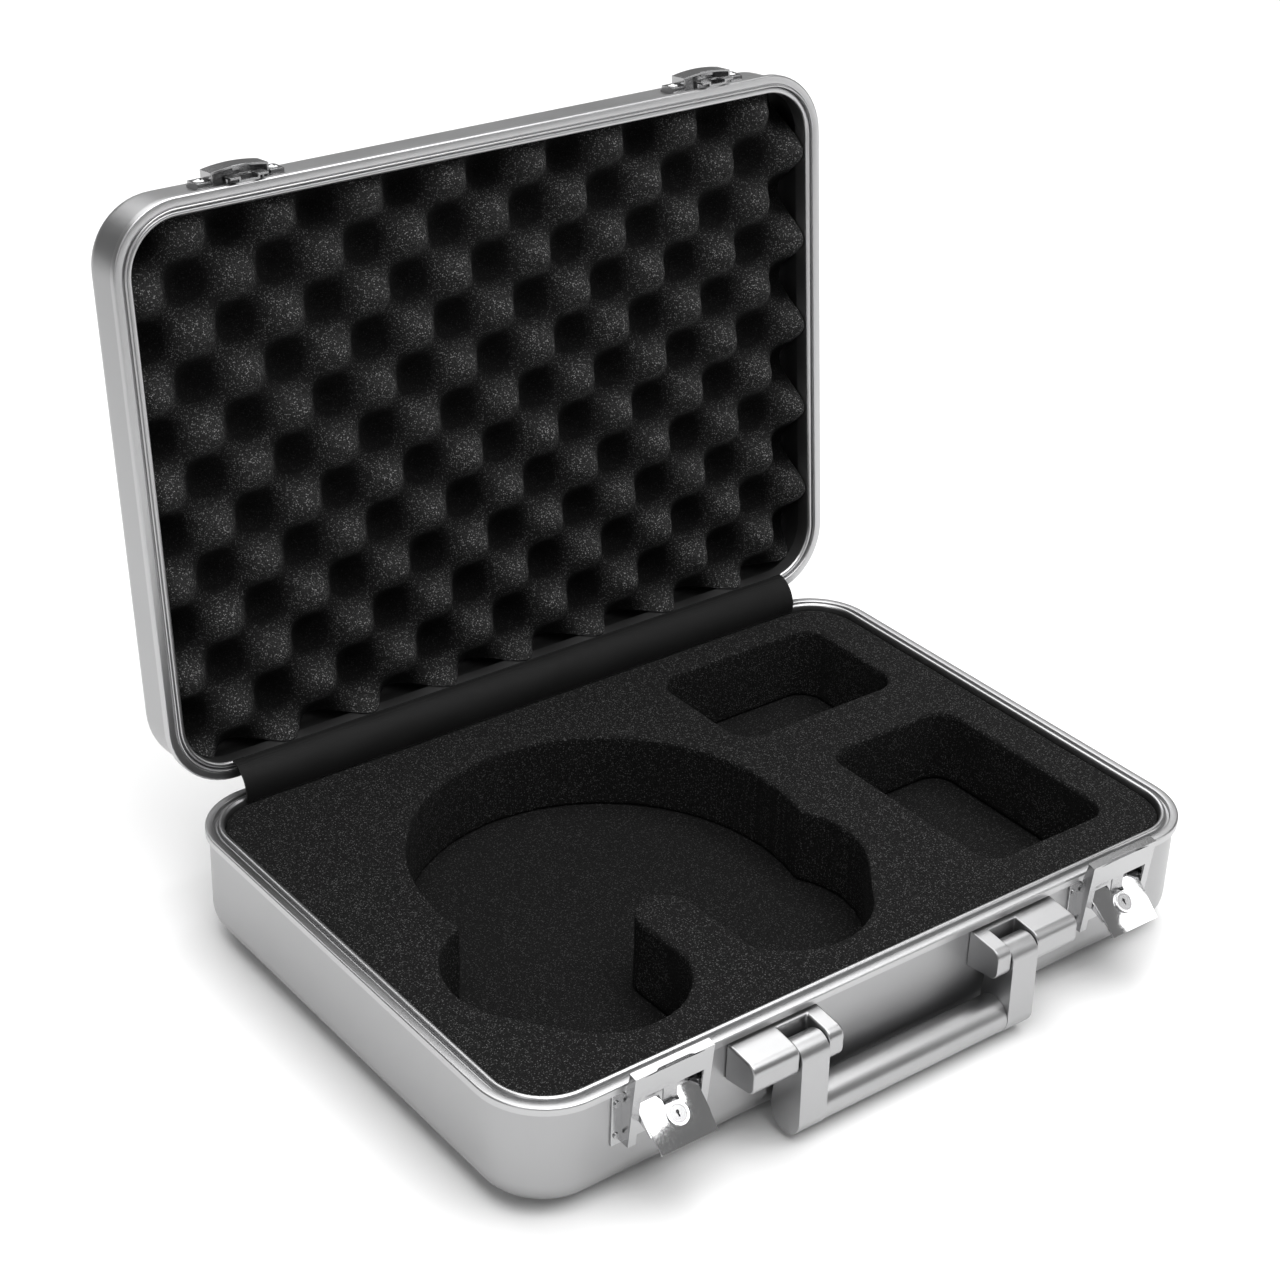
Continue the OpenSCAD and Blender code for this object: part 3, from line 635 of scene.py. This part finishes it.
refined("hinge_base_leaves", STEEL, "base", 0.25)
refined("hinge_lid_leaves", STEEL, "lid", 0.25)
for node in ("hinge_pins", "handle_pins", "flap_pins", "latch_rivets", "base_foot_screws"):
    cad_look(node, STEEL)
cad_look("catch_screws", PLATED)

# ---------- floor and light ----------


def floor(half):
    """A pale studio floor, a square of the given half width in metres."""
    bm = bmesh.new()
    corners = ((-half, -half), (half, -half), (half, half), (-half, half))
    bm.faces.new([bm.verts.new((x, y, 0)) for x, y in corners])
    t = Tree("studio_floor")
    cloud = t.noise(3, 3, 0.5)
    mat = t.set(Base_Color=t.mix(cloud, 0.86, 0.90), Roughness=0.9, Specular_IOR_Level=0.1)
    ob = piece("floor", bm, mat, Matrix.Identity(4), None)


floor(2.6)


def softbox(name, place, target, size, power):
    """A rectangular studio light that faces its target."""
    data = bpy.data.lights.new(name, "AREA")
    data.shape = "RECTANGLE"
    data.size, data.size_y = size
    data.energy = power
    ob = bpy.data.objects.new(name, data)
    bpy.context.scene.collection.objects.link(ob)
    ob.location = place
    ob.rotation_euler = (Vector(target) - Vector(place)).to_track_quat("-Z", "Y").to_euler()


softbox("top_box", (0.05, -0.6, 1.9), (0.0, -0.35, 0.1), (2.1, 2.2), 56)
softbox("left_box", (-1.9, -0.9, 1.2), (0, 0, 0.15), (0.8, 1.4), 5)
softbox("right_box", (1.7, -1.3, 0.7), (0, 0, 0.1), (0.5, 1.4), 5)
softbox("back_box", (0.6, 3.4, 3.2), (0.3, 3.2, 0), (6.0, 3.5), 170)

world = bpy.data.worlds.new("studio")
bpy.context.scene.world = world
world.use_nodes = True
sky = world.node_tree
fill = sky.nodes["Background"]
fill.inputs["Color"].default_value = (1, 1, 1, 1)
fill.inputs["Strength"].default_value = 0.20
# the backdrop is white to the camera and dimmer as a light
backdrop = sky.nodes.new("ShaderNodeBackground")
backdrop.inputs["Color"].default_value = (1, 1, 1, 1)
backdrop.inputs["Strength"].default_value = 1.0
path = sky.nodes.new("ShaderNodeLightPath")
either = sky.nodes.new("ShaderNodeMixShader")
sky.links.new(path.outputs["Is Camera Ray"], either.inputs["Fac"])
sky.links.new(fill.outputs["Background"], either.inputs[1])
sky.links.new(backdrop.outputs["Background"], either.inputs[2])
sky.links.new(either.outputs["Shader"], sky.nodes["World Output"].inputs["Surface"])
